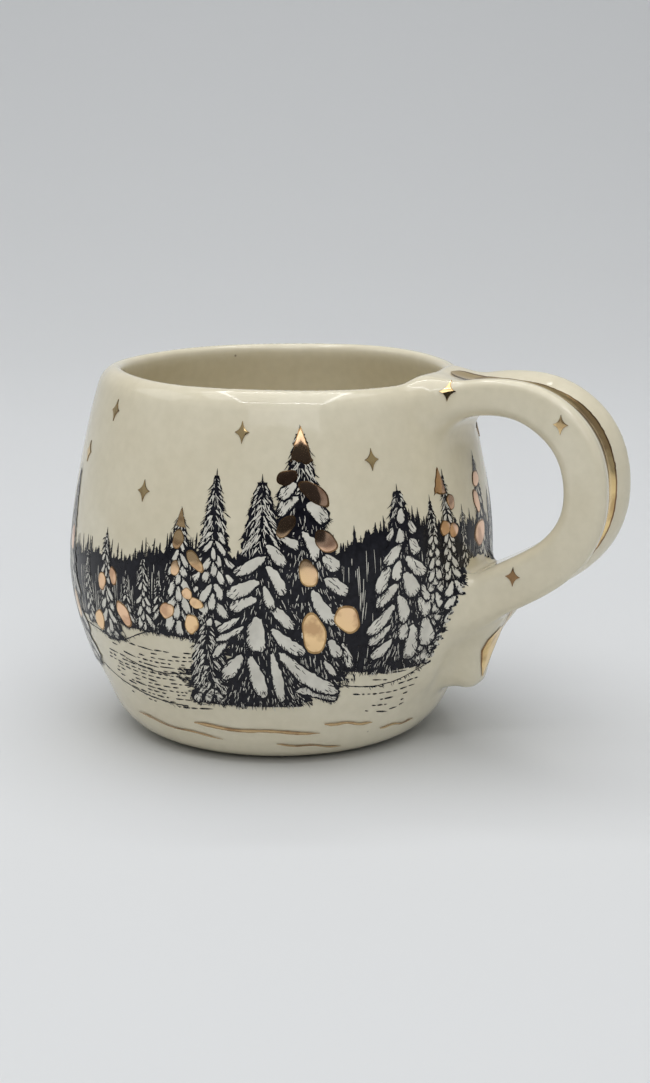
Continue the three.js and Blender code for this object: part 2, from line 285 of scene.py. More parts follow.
def clay_field(p):
    """Distance to the clay's surface, negative inside it, near enough to true close by."""
    block, well = block_and_well(p)
    near = (p[:, 0] > HANDLE_START) & (np.abs(p[:, 1]) < HANDLE_SIDE)
    if near.any():
        q = p[near]
        beside = np.clip((np.abs(q[:, 1]) - 6) / 4, 0, 1)
        under = np.clip((LOW_ROOT_HEIGHT - q[:, 2]) / 5, 0, 1)
        low_blend = LOW_BLEND + LOW_BLEND_MORE * np.maximum(beside, under)
        root_blend = np.where(q[:, 2] > HANDLE_MIDDLE, TOP_BLEND, low_blend)
        with_strap = smooth_min(block[near], strap.field(q), root_blend)
        block[near] = smooth_min(with_strap, tail.field(q), TAIL_BLEND)
    return smooth_max(block, -well, MOUTH_ROUNDING)


def clay_slope(p, step=0.02):
    slope = np.empty_like(p)
    for axis in range(3):
        nudge = np.zeros(3)
        nudge[axis] = step
        slope[:, axis] = (clay_field(p + nudge) - clay_field(p - nudge)) / (2 * step)
    return slope


def clay_normals(p):
    slope = clay_slope(p)
    return slope / np.linalg.norm(slope, axis=1, keepdims=True)


def settle(p, rounds=3):
    """Moves points straight onto the clay's surface."""
    for _ in range(rounds):
        slope = clay_slope(p)
        p = p - clay_field(p)[:, None] * slope / (slope ** 2).sum(1, keepdims=True)
    return p


def lay_on_clay(p, direction, lift, rounds=5):
    """Slides points along their directions until they stand lift off the clay."""
    for _ in range(rounds):
        p = p - (clay_field(p) - lift)[:, None] * direction
    return p


# ------------------------------------------------------------------ mesh helpers
def finish_piece(piece, normals, slot_name, *replaced):
    """Gives a piece the clay's own normals, and says what it is a part of."""
    piece.data.normals_split_custom_set_from_vertices(normals.tolist())
    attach(piece, "root")
    if replaced:
        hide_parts(*replaced)


def new_mesh_object(name, points_mm, faces, material, smooth=True):
    mesh = bpy.data.meshes.new(name)
    mesh.from_pydata((np.asarray(points_mm) * MM).tolist(), [], [list(map(int, f)) for f in faces])
    mesh.materials.append(material)
    if smooth:
        mesh.shade_smooth()
    mesh.update()
    obj = bpy.data.objects.new(name, mesh)
    bpy.context.scene.collection.objects.link(obj)
    return obj


def even_out(points, faces, rounds):
    """Slides the points of a quad mesh towards their neighbours' middle, along the clay."""
    edges = np.concatenate([faces[:, [i, (i + 1) % 4]] for i in range(4)])
    for _ in range(rounds):
        total = np.zeros_like(points)
        count = np.zeros(len(points))
        np.add.at(total, edges[:, 0], points[edges[:, 1]])
        np.add.at(count, edges[:, 0], 1)
        points = settle(0.5 * points + 0.5 * total / count[:, None], 1)
    return points


def clay_mesh():
    """The field's surface as quads, evened out and settled back on to it."""
    low = np.floor(np.array(CAD_LOW) / MM) - 3
    high = np.ceil(np.array(CAD_HIGH) / MM) + 3
    counts = np.ceil((high - low) / GRID_STEP).astype(int)
    far = 10.0
    axes = [low[i] + GRID_STEP * np.arange(counts[i]) for i in range(3)]
    grid = np.stack(np.meshgrid(*axes, indexing="ij"), -1).reshape(-1, 3)
    values = clay_field(grid).reshape(counts)
    volume = openvdb.FloatGrid(far)
    volume.copyFromArray(np.clip(values, -far, far) / GRID_STEP)
    points, faces = volume.convertToQuads(0.0)
    points = low + GRID_STEP * np.asarray(points, float)
    faces = np.asarray(faces, int)
    return settle(even_out(settle(points), faces, 3)), faces


# ------------------------------------------------------------------ materials
class Surface:
    """A material as it is built up, with patterns placed in the piece's own metres."""

    def __init__(self, name):
        self.material = bpy.data.materials.new(name)
        self.material.use_nodes = True
        self.nodes = self.material.node_tree.nodes
        self.shader = self.nodes["Principled BSDF"]
        self.place = self.nodes.new("ShaderNodeTexCoord").outputs["Object"]

    def feed(self, socket, value):
        """Links another node's output to a socket, or sets the socket's own value."""
        if isinstance(value, bpy.types.NodeSocket):
            self.material.node_tree.links.new(value, socket)
        else:
            socket.default_value = value

    def shade(self, **values):
        """Sets or links the shader's inputs, named with underscores for spaces."""
        for name, value in values.items():
            self.feed(self.shader.inputs[name.replace("_", " ")], value)

    def node(self, kind, **values):
        node = self.nodes.new("ShaderNode" + kind)
        for name, value in values.items():
            self.feed(node.inputs[name.replace("_", " ")], value)
        return node

    def noise(self, scale, detail):
        return self.node("TexNoise", Vector=self.place, Scale=scale, Detail=detail).outputs["Fac"]

    def ramp(self, factor, *stops):
        """Turns a number into a colour, from two stops of (number, colour)."""
        node = self.node("ValToRGB", Fac=factor)
        for element, (place, colour) in zip(node.color_ramp.elements, stops):
            element.position = place
            element.color = (*colour, 1)
        return node.outputs["Color"]

    def maths(self, operation, a, b):
        node = self.nodes.new("ShaderNodeMath")
        node.operation = operation
        self.feed(node.inputs[0], a)
        self.feed(node.inputs[1], b)
        return node.outputs[0]

    def mix(self, factor, a, b, blend="MIX"):
        node = self.nodes.new("ShaderNodeMix")
        node.data_type = "RGBA"
        node.blend_type = blend
        for index, value in ((0, factor), (6, a), (7, b)):
            self.feed(node.inputs[index], value)
        return node.outputs[2]

    def bump(self, height, distance):
        node = self.node("Bump", Height=height, Distance=distance, Strength=1.0)
        self.shade(Normal=node.outputs["Normal"])


def mottled(name, scale, detail, low, high, **shade):
    """A surface that drifts between two colours, and the noise that it drifts by."""
    surface = Surface(name)
    drift = surface.noise(scale, detail)
    surface.shade(Base_Color=surface.ramp(drift, low, high), **shade)
    return surface, drift


def plain_material(name, colour, roughness):
    surface = Surface(name)
    surface.shade(Base_Color=(*colour, 1), Roughness=roughness)
    return surface.material


def glaze_material():
    """Clear glaze on cream clay: cloudy, faintly speckled, with a few brown iron spots."""
    glaze = Surface("clear_glaze_on_cream_clay")
    cloudy = glaze.ramp(
        glaze.noise(38, 3), (0.32, (0.742, 0.673, 0.503)), (0.68, (0.806, 0.746, 0.582)))
    fine = glaze.ramp(glaze.noise(420, 2), (0.3, (0.95, 0.95, 0.94)), (0.7, (1, 1, 1)))
    cream = glaze.mix(1.0, cloudy, fine, "MULTIPLY")
    cells = glaze.node("TexVoronoi", Vector=glaze.place, Scale=150)
    chance = glaze.node("SeparateColor", Color=cells.outputs["Color"])
    rare = glaze.maths("GREATER_THAN", chance.outputs["Red"], 0.955)
    small = glaze.node("MapRange", Value=cells.outputs["Distance"], From_Min=0.06, From_Max=0.02)
    spot = glaze.maths("MULTIPLY", rare, small.outputs["Result"])
    base = glaze.mix(spot, cream, (0.30, 0.24, 0.17, 1))
    glaze.shade(Base_Color=base, Roughness=0.07, IOR=1.5)
    glaze.bump(glaze.noise(260, 2), 0.00002)
    return glaze.material


def bare_clay_material():
    pale, buff = (0.3, (0.50, 0.43, 0.32)), (0.7, (0.62, 0.55, 0.43))
    clay, grain = mottled("bare_fired_clay", 900, 4, pale, buff, Roughness=0.85)
    clay.bump(grain, 0.00012)
    return clay.material


# ------------------------------------------------------------------ camera, light and sweep
# Metres, from here to the fired clay.
CAMERA_AZIMUTH = math.radians(27)
CAMERA_DISTANCE = 0.5
CAMERA_HEIGHT = 0.1596
CAMERA_PITCH = math.radians(12.95)
CAMERA_PAN = math.radians(1.21)
FOCAL_LENGTH = 69.8
WINDOW_HEIGHT, WINDOW_BAR_WIDTH = 1.0, 0.035


def make_camera():
    data = bpy.data.cameras.new("camera")
    data.lens = FOCAL_LENGTH
    data.sensor_width = 36
    data.clip_start = 0.02
    data.clip_end = 20
    camera = bpy.data.objects.new("camera", data)
    camera.location = (
        CAMERA_DISTANCE * math.sin(CAMERA_AZIMUTH),
        -CAMERA_DISTANCE * math.cos(CAMERA_AZIMUTH),
        CAMERA_HEIGHT,
    )
    camera.rotation_euler = (math.pi / 2 - CAMERA_PITCH, 0, CAMERA_AZIMUTH - CAMERA_PAN)
    bpy.context.scene.collection.objects.link(camera)
    bpy.context.scene.camera = camera


def towards_camera(azimuth_offset, distance, height):
    """A place round the mug, counted in degrees from the camera's side."""
    angle = CAMERA_AZIMUTH + math.radians(azimuth_offset)
    return Vector((distance * math.sin(angle), -distance * math.cos(angle), height))


def area_light(name, place, target, width, height, power):
    data = bpy.data.lights.new(name, "AREA")
    data.shape = "RECTANGLE"
    data.size, data.size_y = width, height
    data.energy = power
    light = bpy.data.objects.new(name, data)
    light.location = place
    light.rotation_mode = "QUATERNION"
    light.rotation_quaternion = (Vector(target) - Vector(place)).to_track_quat("-Z", "Y")
    bpy.context.scene.collection.objects.link(light)
    return light


def make_sweep():
    """A paper floor that curves up into a back wall behind the mug."""
    radius, depth_front, depth_back, half_width, top = 1.3, 2.2, 0.6, 3.0, 3.0
    profile = [(-depth_front, 0.0)]
    profile += [(depth_back * k / 8, 0.0) for k in range(9)]
    for k in range(1, 33):
        turn = math.pi / 2 * k / 32
        profile.append((depth_back + radius * math.sin(turn), radius * (1 - math.cos(turn))))
    profile.append((depth_back + radius, top))
    away = -towards_camera(0, 1, 0)
    side = Vector((away.y, -away.x, 0))
    points, faces = [], []
    for distance, height in profile:
        for share in (-half_width, half_width):
            points.append((away * distance + side * share + Vector((0, 0, height))) / MM)
    for k in range(len(profile) - 1):
        faces.append((2 * k, 2 * k + 1, 2 * k + 3, 2 * k + 2))
    paper = plain_material("grey_paper_sweep", (0.70, 0.71, 0.715), 0.9)
    new_mesh_object("paper_sweep", points, faces, paper)


def make_world():
    world = bpy.data.worlds.new("studio")
    world.use_nodes = True
    background = world.node_tree.nodes["Background"]
    background.inputs["Color"].default_value = (0.93, 0.96, 1.0, 1)
    background.inputs["Strength"].default_value = 0.26
    bpy.context.scene.world = world


def light_bar(name, a, b, thick, power):
    """A thin bright bar between two places, shining down on the mug's rim."""
    a, b = Vector(a), Vector(b)
    middle = (a + b) / 2
    back = (middle - Vector((0, 0, RIM_HEIGHT * MM))).normalized()
    along = (b - a).normalized()
    aside = back.cross(along).normalized()
    light = area_light(name, middle, (0, 0, 0), (b - a).length, thick, power)
    turn = Matrix((along, aside, along.cross(aside))).transposed()
    light.rotation_quaternion = turn.to_quaternion()


def make_lights():
    """Soft room light, and four bars like a window's edges that draw the bright line on the lip."""
    area_light("overhead", towards_camera(-20, 0.2, 1.9), (0, 0, 0), 2.0, 1.8, 17.5)
    area_light("front_top", towards_camera(0, 1.2, 1.3), (0, 0, 0.05), 1.2, 0.7, 2.6)
    area_light("front_low", towards_camera(0, 1.35, 0.78), (0, 0, 0.04), 1.1, 0.34, 1.7)
    area_light("left", towards_camera(-100, 1.0, 0.9), (0, 0, 0.07), 0.8, 0.5, 1.2)
    behind = towards_camera(180, 1.9, 0.2)
    area_light("backdrop_wash", towards_camera(180, 0.6, 1.9), behind, 2.4, 0.6, 2.4)
    corners = []
    for side, ahead in ((-0.26, -0.45), (0.26, -0.45), (0.42, 0.7), (-0.42, 0.7)):
        corners.append(towards_camera(0, ahead, WINDOW_HEIGHT) + towards_camera(90, side, 0))
    for k, power in enumerate((1.0, 0.8, 1.0, 0.8)):
        light_bar("window_bar_%d" % k, corners[k], corners[(k + 1) % 4], WINDOW_BAR_WIDTH, power)


def make_dark_card():
    """The dim room behind the camera, which the gold and the glaze mirror."""
    middle = towards_camera(0, 1.5, 0.50)
    aside = towards_camera(90, 1, 0)
    points = []
    for across, height in ((-0.55, -0.40), (0.55, -0.40), (0.55, 0.40), (-0.55, 0.40)):
        points.append((middle + aside * across + Vector((0, 0, height))) / MM)
    dark = plain_material("dark_room_card", (0.02, 0.02, 0.022), 0.9)
    new_mesh_object("dark_card", points, [(0, 1, 2, 3)], dark, smooth=False)


# ------------------------------------------------------------------ the fired clay
def make_clay():
    """The clay, glazed all over but for the flat it stands on."""
    points, faces = clay_mesh()
    clay = new_mesh_object("fired_clay_body", points, faces, glaze_material())
    clay.data.materials.append(bare_clay_material())
    middle = points[faces].mean(1)
    underneath = (middle[:, 2] < 0.25) & (np.hypot(middle[:, 0], middle[:, 1]) < 36)
    clay.data.polygons.foreach_set("material_index", underneath.astype(np.int32))
    normals = clay_normals(points)
    finish_piece(clay, normals, "glazed_stoneware", "body_wall", "base_slab", "handle_strap")


# ------------------------------------------------------------------ drawing on the flat wall
ARC = BELLY_RADIUS * math.pi / 180
LAYER = 0.008
PRINT_LIFT = 0.02
TOP_LAYER, SCRUB_LAYER = 21, 13
GOLD_LIFT = PRINT_LIFT + TOP_LAYER * LAYER
MIN_HALF_WIDTH = 0.02


def draws(rng, low, high, like):
    """A random number from low to high for each item of like."""
    return np.array([rng.uniform(low, high) for _ in like])


class Drawing:
    """Quad patches in flat (arc, height) millimetres, each with its own lift off the clay."""

    def __init__(self):
        self.patches = []

    def add_grid(self, grid, layer):
        self.patches.append((np.asarray(grid, float), PRINT_LIFT + layer * LAYER))

    def ribbon(self, line, half_widths, layer, across=1):
        """A strip along a line, as wide at each point as asked."""
        line = np.asarray(line, float)
        heading = np.gradient(line, axis=0)
        heading /= np.maximum(np.linalg.norm(heading, axis=1, keepdims=True), 1e-9)
        left = np.stack([-heading[:, 1], heading[:, 0]], 1)
        half = np.maximum(np.asarray(half_widths, float), MIN_HALF_WIDTH)[:, None]
        shares = np.linspace(-1, 1, across + 1)
        self.add_grid(np.stack([line + left * half * share for share in shares], 1), layer)

    def quill(self, rng, start, heading, length, width, layer, bend=0.0):
        """One pen stroke: thick soon after its start, thinning to its end."""
        count = max(3, int(length) + 2)
        share = np.linspace(0, 1, count)
        turn = np.radians(heading + bend * (share - 0.5))
        step = length / (count - 1)
        line = np.zeros((count, 2))
        line[1:, 0] = np.cumsum(np.cos(turn[:-1])) * step
        line[1:, 1] = np.cumsum(np.sin(turn[:-1])) * step
        line += start
        press = np.interp(share, [0, 0.25, 0.7, 1], [0.6, 1, 0.75, 0.15])
        wobble = 1 + 0.25 * draws(rng, -1, 1, share)
        self.ribbon(line, width / 2 * press * wobble, layer)


def torn_half_angle(z):
    """How far round from the handle the print stops, in degrees, beside the lower root."""
    below = np.maximum(LOW_ROOT_HEIGHT - z, 0)
    return 10 + 4 * (1 - np.exp(-below / 3)) + 0.27 * below


def blank_root(s, z):
    """True where the smeared clay of the handle's lower root leaves no print."""
    degrees = np.abs((s / ARC + 180) % 360 - 180)
    ragged = 0.7 * np.sin(3.1 * z) + 0.5 * np.sin(7.3 * z + 1)
    over = np.clip((LOW_ROOT_HEIGHT + 4 - z) / 4, 0, 1)
    beside = torn_half_angle(z) + ragged
    return degrees < np.where(z < LOW_ROOT_HEIGHT, beside, 10 * np.sqrt(over))


class Bough:
    """A snow-laden bough: a blunt oblong hanging from its start down its heading."""

    def __init__(self, start, heading, length, width, bow):
        self.start = np.array(start, float)
        turn = math.radians(heading)
        self.along = np.array([math.cos(turn), math.sin(turn)])
        self.aside = np.array([-math.sin(turn), math.cos(turn)])
        self.heading, self.length, self.width, self.bow = heading, length, width, bow

    def half(self, share):
        blunt = np.sqrt(np.clip(1 - np.abs(2 * share - 1) ** 2.5, 0, 1))
        return self.width / 2 * blunt * (0.74 + 0.40 * share)

    def middle(self, share):
        sag = self.bow * np.sin(np.pi * share)
        return self.start + np.outer(share * self.length, self.along) + np.outer(sag, self.aside)

    def place(self, share, lean):
        """A place share of the way down the bough, and lean of the way to its edge."""
        share = np.array([share])
        return self.middle(share)[0] + self.aside * lean * self.half(share)

    def covers(self, points):
        away = points - self.start
        share = away @ self.along / self.length
        offset = away @ self.aside - self.bow * np.sin(np.pi * np.clip(share, 0, 1))
        return (share > 0) & (share < 1) & (np.abs(offset) < 0.94 * self.half(share))

    def outline(self):
        count = max(7, int(self.length / 0.6) + 2)
        share = (1 - np.cos(np.linspace(0, np.pi, count))) / 2
        middle, half = self.middle(share), self.half(share)[:, None]
        there = middle + self.aside * half
        back = (middle - self.aside * half)[::-1][1:]
        return np.concatenate([there, back])


def draw_bough(ink, snow, rng, bough, above, layer):
    """Fills and outlines one bough, leaving out what the boughs above it hide."""

    def seen(points):
        hidden = np.zeros(len(points), bool)
        for other in above:
            hidden |= other.covers(points)
        return ~hidden

    share = np.linspace(0.012, 0.988, max(5, int(bough.length / 0.85) + 2))
    middle, half = bough.middle(share), bough.half(share)
    snow.ribbon(middle, half, layer, across=math.ceil(bough.width / 1.1))
    edge = bough.outline()
    rough = 0.06 + 0.035 * bough.width
    edge = edge + [[rng.uniform(-rough, rough) for _ in range(2)] for _ in edge]
    shown = seen(edge)
    pen = 0.10 + 0.06 * math.sqrt(bough.width)
    run = []
    for k, point in enumerate(edge):
        if shown[k]:
            run.append(point)
        if not shown[k] or k == len(edge) - 1:
            if len(run) > 1:
                ink.ribbon(run, pen * draws(rng, 0.6, 1.6, run), layer + 1)
            run = []
    # Short hairs round its end, and longer ones along its lower edge.
    lower = -1 if bough.aside[1] > 0 else 1
    size = 0.55 + 0.28 * bough.width
    for _ in range(int(4 + 3.4 * bough.width)):
        share = rng.uniform(0.78, 0.98)
        lean = rng.uniform(-0.95, 0.95)
        at = bough.place(share, lean)
        if seen(at[None])[0]:
            heading = bough.heading + lean * 20 + rng.uniform(-12, 12)
            reach = rng.uniform(0.5, 1.05) * size
            ink.quill(rng, at, heading, reach, rng.uniform(0.14, 0.27), layer + 1)
    for _ in range(int(4.2 * bough.length)):
        share = rng.uniform(0.10, 0.94)
        at = bough.place(share, lower * rng.uniform(0.55, 1.0))
        if seen(at[None])[0]:
            heading = bough.heading + lower * rng.uniform(28, 62)
            reach = rng.uniform(0.5, 1.1) * size
            ink.quill(rng, at, heading, reach, rng.uniform(0.13, 0.24), layer + 1)


# Drawn boughs, topmost first: mm right of the trunk, mm above the foot, heading, length, width.
LEANING_BOUGHS = [
    (1, 39, -50, 6.5, 3), (1, 36.5, -150, 8.5, 3), (1, 34.5, -60, 8, 3),
    (-0.5, 31, -155, 8.5, 3.5), (-1, 27, -155, 7, 3), (0.5, 30, -70, 6, 2.5),
    (1.5, 25.5, -45, 8, 3), (-1, 23, -90, 9, 5), (-5, 22.5, -145, 6.5, 2), (-4, 20.5, -150, 8, 2),
    (-7.5, 17.5, -130, 7, 2), (2, 20, -40, 10, 3.5), (3.5, 14.5, -37, 19, 4),
    (-4.5, 13.5, -130, 8.5, 3.5), (-3, 13.5, -75, 11.5, 4), (2, 14.5, -80, 13.5, 3),
    (7.5, 4.5, -15, 11.5, 3),
]
TALL_BOUGHS = [
    (-1, 48, -140, 5.5, 3), (-0.5, 45, -140, 6.5, 3), (1, 43.5, -43, 6.5, 4),
    (0, 37.5, -65, 7.5, 3), (4.5, 32, -45, 5, 3.5), (-5, 36, -30, 5, 2.5), (4.5, 27, -37, 7, 3.5),
    (2, 24.5, -58, 10, 3.5), (6, 12.5, -57, 5.5, 3), (9, 11.5, -65, 7.5, 2.5),
    (5, 7.5, -52, 5.5, 2),
]
ROUND_BOUGHS = [
    (0.5, 38.5, -95, 3.7, 2.6), (2.5, 35.5, -68, 3.7, 2.2), (0, 34, -96, 3.6, 2.8),
    (-2, 34.5, -120, 3.5, 1.8), (2.5, 31.5, -60, 4.5, 3.2), (0, 30.5, -138, 6.5, 3),
    (1, 27.5, -40, 7.5, 3.4), (-0.5, 27, -105, 5, 3), (-3.5, 26, -115, 7, 3.3),
    (0.5, 24, -60, 7, 4.7), (-1, 21.5, -140, 7.5, 3.2), (5.5, 20.5, -60, 5, 2.2),
    (4.5, 17.5, -55, 6, 3.8), (-1, 19, -73, 7.5, 3.4), (-2, 17, -134, 9.5, 3.4),
    (1, 12, -85, 4.5, 3.3), (3.5, 11.5, -84, 9.5, 4.7), (7, 12.5, -68, 8, 4.7),
    (-2.5, 12, -142, 7, 2.8), (-1.5, 8.5, -142, 7, 3.2),
]


# How far boughs in rows hang below level, in degrees.
DROOP = 48


class Fir:
    """A snowy fir: where it stands round the mug, its tip, foot and reach, and how near it is.

    Its boughs are sized by bough, and plump is how wide one is for its length. Bare is the share
    of its height with no boughs, and a lower taper makes it fuller near the tip. A fir may have
    drawn boughs, for a fir as high as drawn_height, in place of rows; flip is -1 to mirror them.
    """

    def __init__(self, degrees, tip, foot, reach, depth, bough=1.0, plump=0.40, bare=0.34,
                 taper=0.86, drawn=None, drawn_height=50, flip=1):
        self.s, self.tip, self.foot, self.reach = degrees * ARC, tip, foot, reach
        self.layer = 4 * depth
        self.bough_size, self.plump, self.bare = bough, plump, bare
        self.drawn, self.drawn_height, self.flip = drawn, drawn_height, flip
        self.height, self.taper = tip - foot, taper
        self.hanging = []

    def down(self, z):
        return min(max((self.tip - z) / self.height, 0), 1)

    def half(self, z):
        down = self.down(z)
        tier = self.height / 2.2 * math.log(1 + 1.1 * down) + self.s
        return self.reach * (0.04 + 0.96 * down ** self.taper) * (0.80 + 0.26 * (tier % 1))

    def draw(self, ink, snow, rng):
        self.draw_mass(ink, rng)
        self.draw_flecks(snow, rng)
        if self.drawn:
            self.place_drawn_boughs(ink, snow, rng)
        else:
            self.place_rows_of_boughs(ink, snow, rng)
        self.draw_twigs(ink, snow, rng)
        self.draw_hem(ink, rng)

    def draw_mass(self, ink, rng):
        rows = max(8, int(self.height / 0.5))
        levels = np.linspace(self.tip - 0.02 * self.height, self.foot, rows)
        left = [self.half(z) * rng.uniform(0.84, 1.0) for z in levels]
        right = [self.half(z) * rng.uniform(0.84, 1.0) for z in levels]
        columns = max(2, math.ceil(1.9 * self.reach / 1.5))
        shares = np.linspace(0, 1, columns + 1)
        grid = [
            [(self.s - a + (a + b) * share, z) for share in shares]
            for a, b, z in zip(left, right, levels)
        ]
        ink.add_grid(grid, self.layer)
        ink.quill(rng, (self.s, self.tip - 1.6), 90, 2.4, 0.36, self.layer + 2)

    def draw_flecks(self, snow, rng):
        """Small light gaps left between the pen strokes, in a herringbone where the fir is bare."""
        z = self.tip - 0.035 * self.height
        while z > self.tip - (self.bare + 0.04) * self.height:
            half = self.half(z)
            for side in (-1, 1):
                for _ in range(max(1, round(half / 0.85))):
                    s = self.s + side * half * rng.uniform(0.04, 0.72)
                    heading = -90 + side * rng.uniform(24, 48)
                    reach = rng.uniform(0.7, 1.2) * min(0.6 + 0.45 * half, 2.2)
                    snow.quill(rng, (s, z), heading, reach, rng.uniform(0.18, 0.38), self.layer + 1)
            z -= rng.uniform(0.62, 0.9) + 0.14 * half
        for _ in range(int(self.height * self.reach * 0.8)):
            z = rng.triangular(self.foot, self.tip, self.foot)
            s = self.s + rng.uniform(-0.85, 0.85) * self.half(z)
            tilt = (s - self.s) / self.reach * 40
            heading = -90 + tilt + rng.uniform(-16, 16)
            reach = rng.uniform(0.6, 1.8)
            snow.quill(rng, (s, z), heading, reach, rng.uniform(0.11, 0.22), self.layer + 1)

    def add_bough(self, ink, snow, rng, start, heading, length, width):
        bough = Bough(start, heading, length, width, rng.uniform(-0.07, 0.07) * length)
        draw_bough(ink, snow, rng, bough, self.hanging, self.layer + 1)
        self.hanging.append(bough)

    def place_drawn_boughs(self, ink, snow, rng):
        scale = self.height / self.drawn_height
        for across, up, heading, length, width in self.drawn:
            start = (self.s + self.flip * across * scale, self.foot + up * scale)
            turn = heading if self.flip > 0 else -180 - heading
            self.add_bough(ink, snow, rng, start, turn, length * scale, width * scale)

    def place_rows_of_boughs(self, ink, snow, rng):
        z = self.tip - self.bare * self.height
        size = self.bough_size * (self.reach / 10) ** 0.5
        while z > self.foot + 1:
            down = self.down(z)
            length = size * (2.0 + 5.6 * down ** 0.9)
            width = self.plump * length
            half = self.half(z - 0.35 * length)
            for side in (-1, 1):
                tilt = math.radians(DROOP)
                span = length * math.cos(tilt) * 0.8 + width * math.sin(tilt) * 0.5
                count = max(1, round(half / span))
                for k in range(count):
                    inner = half * (k + 0.05) / count
                    angle = DROOP + (10 if k == 0 else 0) + rng.uniform(-8, 8)
                    start_z = z - 0.22 * length * k + rng.uniform(-0.1, 0.1) * length
                    reach = length * rng.uniform(0.85, 1.12)
                    room = (start_z - self.foot) / math.sin(math.radians(angle))
                    if room > 0.5 * reach:
                        start = (self.s + side * inner, start_z)
                        heading = -angle if side > 0 else 180 + angle
                        self.add_bough(ink, snow, rng, start, heading, min(reach, room), width)
            if rng.random() < 0.45:
                start = (self.s + rng.uniform(-0.3, 0.3), z - 0.35 * length)
                reach = min(0.85 * length, start[1] - self.foot)
                if reach > 1.2:
                    self.add_bough(ink, snow, rng, start, -90 + rng.uniform(-9, 9), reach, width)
            z -= length * 0.66 + 0.35

    def draw_twigs(self, ink, snow, rng):
        """Drooping pen strokes that fringe both sides, and cross the bare tip."""
        z = self.tip - 0.7
        while z > self.foot + 0.5:
            down = self.down(z)
            half = self.half(z)
            at_tip = down < 0.06
            for side in (-1, 1):
                out = 0.1 if at_tip else rng.uniform(0.7, 0.92)
                start = (self.s + side * half * out, z)
                reach = half * rng.uniform(0.8, 1.2) if at_tip else 0.6 + rng.uniform(0.1, 1.2)
                droop = rng.uniform(-55, -30)
                heading = droop if side > 0 else 180 - droop
                width = rng.uniform(0.16, 0.3)
                ink.quill(rng, start, heading, reach, width, self.layer + 2, side * 16)
            z -= rng.uniform(0.4, 0.62) + 0.25 * down

    def draw_hem(self, ink, rng):
        """Short strokes along the foot, fanning outwards."""
        s = self.s - self.reach * 0.95
        while s < self.s + self.reach * 0.95:
            outward = abs(s - self.s) / self.reach
            z = self.foot + 0.7 + 0.8 * outward + rng.uniform(-0.4, 0.4)
            heading = -90 + (s - self.s) / self.reach * 40 + rng.uniform(-18, 18)
            reach = rng.uniform(0.8, 1.8)
            ink.quill(rng, (s, z), heading, reach, rng.uniform(0.16, 0.3), self.layer + 3)
            s += rng.uniform(0.3, 0.55)


# Firs round the mug: degrees from the handle, tip, foot, reach, depth (4 is nearest).
LEANING = dict(bare=0.27, taper=0.7, drawn=LEANING_BOUGHS, drawn_height=53.5)
TALL = dict(bare=0.2, taper=0.72, drawn=TALL_BOUGHS, drawn_height=59.5)
ROUND = dict(bare=0.1, taper=0.6, drawn=ROUND_BOUGHS, drawn_height=43)
BRUSH = dict(bare=0.8, taper=0.5)
FIRS = [
    Fir(-140, 66, 19, 10, 4, 1.15), Fir(-115.3, 54.5, 29, 5.4, 2, 1.1, bare=0.2),
    Fir(-125, 49, 31, 3.4, 1), Fir(-101, 50.5, 33, 4.6, 1), Fir(-107, 45, 33, 3, 1),
    Fir(-96, 47, 33, 3, 1), Fir(-90, 62, 33, 7.6, 2, 1.1, bare=0.22),
    Fir(-80.5, 70.8, 32, 8.4, 1, bare=0.38), Fir(-82.5, 37, 16.5, 7.5, 3, **BRUSH),
    Fir(-68, 70, 16.5, 12.3, 4, **LEANING), Fir(-57.8, 80.5, 21, 12.6, 3, **TALL),
    Fir(-31.3, 66.5, 23.5, 8.6, 2, **ROUND), Fir(-20.5, 63, 24, 6.8, 1, plump=0.55, bare=0.22),
    Fir(-14.2, 68, 26, 5.8, 2, 1.05, plump=0.5, bare=0.22), Fir(-7, 59, 40, 2.6, 1),
    Fir(4.5, 69.8, 43, 5.8, 2, bare=0.2), Fir(14, 60, 40, 4.5, 1), Fir(22, 64, 27, 7, 1),
    Fir(34, 72, 22, 9, 2), Fir(45, 58, 26, 5, 1), Fir(52, 62, 27, 7, 2, **ROUND),
    Fir(70, 78, 17, 12, 3, flip=-1, **LEANING), Fir(61, 58, 27, 5, 1), Fir(80, 60, 25, 6, 2),
    Fir(88, 66, 27, 7.5, 1, **ROUND), Fir(100, 57, 29, 5, 1),
    Fir(112, 74, 20, 10.5, 3, flip=-1, **TALL), Fir(126, 60, 28, 6.5, 2, **ROUND),
    Fir(137, 56, 29, 4.8, 1), Fir(148, 70, 23, 9, 2), Fir(160, 57, 28, 5.4, 1),
    Fir(170, 62, 27, 7, 2, **ROUND), Fir(186, 77, 17, 12, 3, **LEANING), Fir(178, 60, 27, 5, 1),
    Fir(196, 61, 27, 6, 2), Fir(204, 64, 30, 6.5, 1), Fir(56, 36, 17, 7, 2, **BRUSH),
    Fir(83, 34, 17, 7, 2, **BRUSH), Fir(172, 34, 17.5, 7, 2, **BRUSH),
]

# Heights of the far forest's top and foot, by degrees from the handle.
FOREST_TOP = Spline(
    [-180, -136, -121, -105, -90, -73, -47, -38, -24, -8, 10, 40, 75, 110, 145, 180],
    [51, 46, 48.5, 49.5, 53.5, 52, 54, 57, 57.5, 55, 53, 54, 52, 55, 51, 51],
)
FOREST_FOOT = Spline(
    [-180, -130, -100, -70, -45, -20, 20, 60, 100, 140, 180],
    [31, 32, 34, 33, 25, 26, 30, 29, 30, 31, 31],
)


DASH_WIDTH, DASH_SAG = 0.42, 1.0


